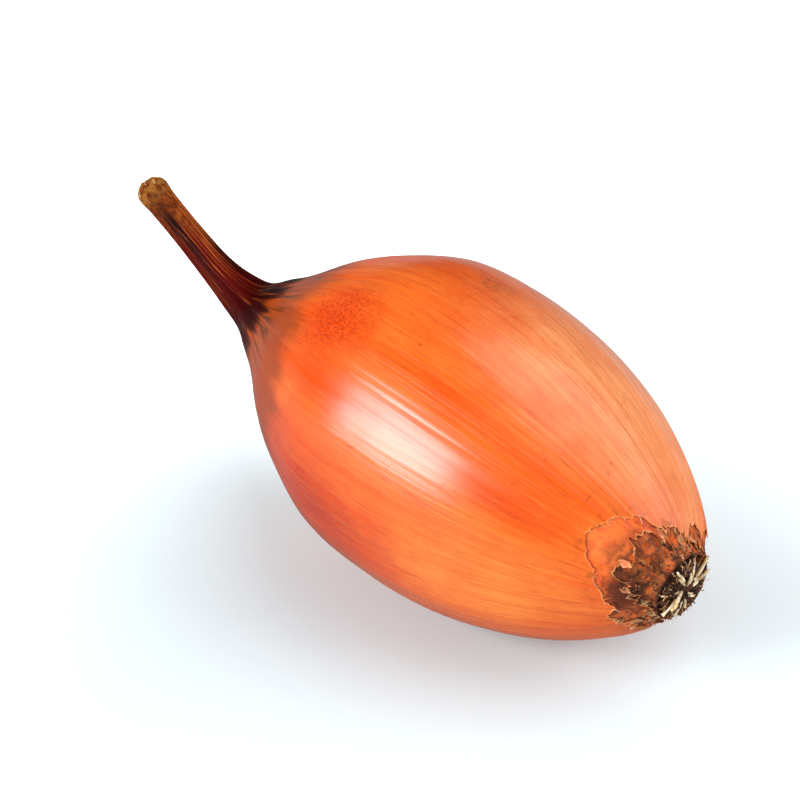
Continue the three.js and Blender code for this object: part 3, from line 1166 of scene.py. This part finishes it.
soil = {
    "from": -5.5 * mm,        # distances from the rim, inwards below 0
    "to": 4.6 * mm,
    "lift": -0.2 * mm,        # height above the skin
    "plateLift": 1.35 * mm,   # and on the plate
    "wander": 0.8 * mm,       # how ragged its outer rim is
    "Density": 1.9e6, "Size": 0.13 * mm, "Spread": 0.7, "Flatness": 0.6, "Seed": 6,
}


def makeSoil():
    # a patch from the plate out on to the stained base, left out of the finished piece
    around = np.linspace(0, fullTurn, 90, endpoint=False)
    travel = np.concatenate([np.linspace(soil["from"], 0, 8), np.linspace(0, soil["to"], 8)[1:]])
    travel = travel[:, None] + 0 * around
    travel = travel + soil["wander"] * ragged(around, 4, [(2, 12, 1.0)]) * (travel > 1 * mm)
    turn = np.broadcast_to(around, travel.shape)
    lift = np.where(travel < -0.6 * mm, soil["plateLift"], soil["lift"])
    # the way round its faces go decides where the crumbs fall
    faces = [(a, d, c, b) for a, b, c, d in ringFaces(*travel.shape)[0]]
    piece = addPiece("root_soil", onSkin(travel, turn, lift), faces)
    return runNodes(piece, crumbTree, {"Material": soilPaint, **treeInputs(soil)})


declare(makeSoil(), "root")


# Fibres left standing along the torn edges, and the dry threads of the neck

edgeFibres = {
    "count": 150,               # along each torn edge
    "lifts": (-0.02 * mm, -0.2 * mm),
    "inset": 0.3 * mm,          # how far in from the edge they start
    "Length": 1.0 * mm, "Spread": 0.7, "Thickness": 0.04 * mm, "Taper": 0.6, "Bend": 0.12, "Wiggle": 0.3 * mm,
    "Curl": 900.0, "Sides": 5, "Steps": 7, "Seed": 3,
}
neckFibres = {
    "count": 90,
    "lift": -0.12 * mm,
    "from": 0.93,               # where the first ones start, as a share of the neck's length
    "over": 2.2 * mm,           # the stretch that they cover
    "Length": 0.8 * mm, "Spread": 0.5, "Thickness": 0.09 * mm, "Taper": 0.5, "Bend": -0.1, "Wiggle": 0.1 * mm,
    "Curl": 1200.0, "Sides": 6, "Steps": 6, "Seed": 5,
}


def strandPiece(name, travel, around, lift, way, sideways, parts):
    # strands that run along the skin, to the neck where way is 1 and to the root where it is -1
    start = onSkin(travel, around, lift)
    ahead = onSkin(travel + way * 0.2 * mm, around + sideways, lift) - start
    piece = addPiece(name, start, [], {
        "direction": ahead / np.linalg.norm(ahead, axis=-1, keepdims=True),
        "outward": outwardAt(travel, around, lift),
    })
    return runNodes(piece, strandTree, {"Material": fibrePaint, **treeInputs(parts)})


def makeEdgeFibres():
    rng = np.random.default_rng(31)
    count = edgeFibres["count"]
    rows = []
    for edge, lift in zip((outerEdge, secondEdge), edgeFibres["lifts"]):
        around = rng.uniform(0, fullTurn, count)
        columns = np.linspace(0, fullTurn, len(edge), endpoint=False)
        travel = np.interp(around, columns, edge, period=fullTurn) + edgeFibres["inset"]
        rows.append((travel, around, np.full(count, lift), rng.normal(0, 0.02, count)))
    travel, around, lift, sideways = (np.concatenate(values) for values in zip(*rows))
    return strandPiece("edge_fibres", travel, around, lift, -1, sideways, edgeFibres)


def makeNeckFibres():
    rng = np.random.default_rng(37)
    count = neckFibres["count"]
    around = np.arange(count) * goldenTurn
    tipTravel = travelAt(shape["length"] + shape["neckLength"] * neckFibres["from"])
    travel = tipTravel + rng.uniform(0, 1, count) * neckFibres["over"]
    lift = np.full(count, neckFibres["lift"])
    return strandPiece("neck_fibres", travel, around, lift, 1, rng.normal(0, 0.02, count), neckFibres)


declare(makeEdgeFibres(), "skin")
declare(makeNeckFibres(), "skin")


# Loose flakes of skin

flakes = {
    "columns": 40,
    "rings": 9,              # on each side
    "thickness": 0.1 * mm,
    "ragged": 0.16,          # how uneven their rims are, as a share of their size
    "lowLift": -0.26 * mm,   # how far below the outer skin they start, near the root
    "highLift": -0.03 * mm,  # and on the body
    # angle in degrees, height, length and width in millimetres, lift at their free end
    "places": [
        (223, 3.6, 2.6, 1.6, 0.5), (232, 2.6, 1.8, 1.3, 0.4), (212, 3.0, 1.6, 1.1, 0.4),
        (-52, 4.4, 1.7, 1.0, 0.5), (-75, 3.4, 1.4, 0.9, 0.3), (-12, 3.6, 1.5, 0.9, 0.5),
        (8, 2.2, 1.6, 1.1, 0.5), (30, 2.0, 1.3, 1.0, 0.4), (95, 3.4, 2.4, 1.5, 0.7),
        (130, 5.4, 3.0, 1.8, 0.8), (150, 3.2, 1.8, 1.2, 0.5), (186, 2.8, 1.7, 1.2, 0.5),
        (118, 40.0, 17.0, 4.2, 0.22), (168, 56.0, 11.0, 3.0, 0.18),
    ],
}


def flakeShape(number, angle, height, length, width, rise):
    # both sides of one flake as rings of (travel, angle around, lift), and the share of the way to its rim
    around = np.linspace(0, fullTurn, flakes["columns"], endpoint=False)
    rings = flakes["rings"]
    rim = 1 + flakes["ragged"] * ragged(around, 60 + number, [(2, 6, 0.7), (6, 16, 0.5)])
    share = np.concatenate([np.linspace(0.02, 1, rings), np.linspace(1, 0.02, rings)])[:, None]
    middle, half = travelAt(height * mm), length / 2 * mm
    radius = np.interp(middle, outlineTravel, outlineRadius)
    travel = middle + half * share * rim * np.cos(around)
    turn = math.radians(angle) + width / 2 * mm * share * rim * np.sin(around) / radius
    free = np.clip((middle - travel) / half * 0.5 + 0.5, 0, 1.2)
    under = flakes["highLift"] if height > 10 else flakes["lowLift"]
    side = np.where(np.arange(2 * rings) < rings, 0.5, -0.5)[:, None] * flakes["thickness"]
    lift = under + 0.1 * mm + rise * mm * free ** 3 + side * (1 - 0.6 * share ** 6)
    return travel, turn, lift, share


def makeFlakes():
    vertices, grains, outwards, edges, faces = [], [], [], [], []
    for number, place in enumerate(flakes["places"]):
        travel, turn, lift, share = flakeShape(number, *place)
        between, index, _ = ringFaces(*travel.shape, first=sum(len(block) for block in vertices))
        faces += [*between, index[0][::-1].tolist(), index[-1].tolist()]
        vertices.append(onSkin(travel, turn, lift).reshape(-1, 3))
        grains.append(grainAt(travel, turn).reshape(-1, 3))
        outwards.append(outwardAt(travel, turn, lift).reshape(-1, 3))
        edges.append(((1 - share) * place[3] / 2 + 0 * travel).ravel())
    piece = addPiece("skin_flakes", np.vstack(vertices), faces, {
        "grain": np.vstack(grains), "outward": np.vstack(outwards), "edge": np.concatenate(edges),
    })
    return runNodes(piece, skinRelief, {"Material": flakePaint, **skinFolds})


declare(makeFlakes(), "skin")


# Studio

studio = {
    "azimuth": 45.97,
    "elevation": 35.16,
    "distance": 380 * mm,
    "seenWidth": 86 * mm,     # how wide the onion looks from here
    "fill": 0.72,             # that width against the frame's
    "floorSize": 8.0,
    "floorLit": (0.74, 0.80, 0.83, 1),        # what it throws back on to the onion
    "floorSeen": (0.565, 0.655, 0.69, 1),     # what the camera sees
    "floorMirrored": 0.7,     # how much darker the floor looks in the skin's gloss
    "greyMiddle": (30 * mm, -40 * mm, 0.0),
    "whiteFrom": 40 * mm,     # the floor glows plain white to the camera between these distances from greyMiddle: painted light over its own shading
    "whiteAt": 180 * mm,
    "fillLight": 0.36,        # brightness of the surroundings
    "mirrored": 0.05,         # how bright they look in the skin's gloss
    "background": 1.1,        # how bright they look to the camera
    # direction from the onion, distance, width and height in metres, power in watts
    "softboxes": {
        "key": ((-0.30, -0.862, 0.405), 1.5, (0.85, 0.85), 37.0),
        "overhead": ((0.3, 0.35, 0.9), 1.4, (1.6, 1.6), 18.0),
        "rim": ((0.8, 0.65, 0.45), 1.5, (1.1, 1.1), 14.0),
    },
}


def makeFloor():
    half = studio["floorSize"] / 2
    mesh = bpy.data.meshes.new("studio_floor")
    corners = [(-half, -half, 0), (half, -half, 0), (half, half, 0), (-half, half, 0)]
    mesh.from_pydata(corners, [], [(0, 1, 2, 3)])
    floor = bpy.data.objects.new("studio_floor", mesh)
    scene.collection.objects.link(floor)
    material, tree, shader = startMaterial("paleFloor")
    rays = addNode(tree, "ShaderNodeLightPath").outputs
    mirrored = times(tree, rays["Is Glossy Ray"], studio["floorMirrored"])
    seen = mixColours(tree, rays["Is Camera Ray"], studio["floorLit"], studio["floorSeen"])
    feed(tree, shader.inputs["Base Color"], mixColours(tree, mirrored, seen, (0, 0, 0, 1)))
    # painted light: away from greyMiddle the floor glows white to the camera, so only the shade near the
    # onion stays grey
    place = addNode(tree, "ShaderNodeTexCoord").outputs["Object"]
    distance = vectorCalc(tree, "DISTANCE", place, studio["greyMiddle"])["Value"]
    floorGlow = ramp(tree, distance, studio["whiteFrom"], studio["whiteAt"])
    shader.inputs["Emission Color"].default_value = (1, 1, 1, 1)
    feed(tree, shader.inputs["Emission Strength"], times(tree, floorGlow, rays["Is Camera Ray"]))
    shader.inputs["Roughness"].default_value = 0.9
    shader.inputs["Specular IOR Level"].default_value = 0.1
    mesh.materials.append(material)
    floor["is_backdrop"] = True


def addSoftbox(name, direction, distance, size, power):
    middle = (cadBox[0] + cadBox[1]) / 2
    light = bpy.data.lights.new(name, "AREA")
    light.shape = "RECTANGLE"
    light.size, light.size_y = size
    light.energy = power
    lamp = bpy.data.objects.new(name, light)
    lamp.location = middle + Vector(direction).normalized() * distance
    lamp.rotation_mode = "QUATERNION"
    lamp.rotation_quaternion = (middle - lamp.location).to_track_quat("-Z", "Y")
    scene.collection.objects.link(lamp)


def makeWorld():
    world = bpy.data.worlds.new("studioWorld")
    world.use_nodes = True
    tree = world.node_tree
    background = tree.nodes["Background"]
    background.inputs["Color"].default_value = (1, 1, 1, 1)
    fill = studio["fillLight"]
    rays = addNode(tree, "ShaderNodeLightPath").outputs
    glossy = times(tree, rays["Is Glossy Ray"], fill - studio["mirrored"])
    seen = times(tree, rays["Is Camera Ray"], studio["background"] - fill)
    feed(tree, background.inputs["Strength"], plus(tree, minus(tree, fill, glossy), seen))
    scene.world = world


def makeCamera():
    low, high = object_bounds()
    middle = (low + high) / 2
    turn, rise = math.radians(studio["azimuth"]), math.radians(studio["elevation"])
    back = Vector((math.sin(turn) * math.cos(rise), -math.cos(turn) * math.cos(rise), math.sin(rise)))
    camera = bpy.data.cameras.new("camera")
    camera.lens = camera.sensor_width * studio["distance"] * studio["fill"] / studio["seenWidth"]
    camera.clip_start, camera.clip_end = 0.01, 20
    view = bpy.data.objects.new("camera", camera)
    view.location = middle + back * studio["distance"]
    view.rotation_mode = "QUATERNION"
    view.rotation_quaternion = (-back).to_track_quat("-Z", "Y")
    scene.collection.objects.link(view)
    scene.camera = view


makeFloor()
makeWorld()
for softboxName, softbox in studio["softboxes"].items():
    addSoftbox(softboxName, *softbox)
makeCamera()
print("studio ready")
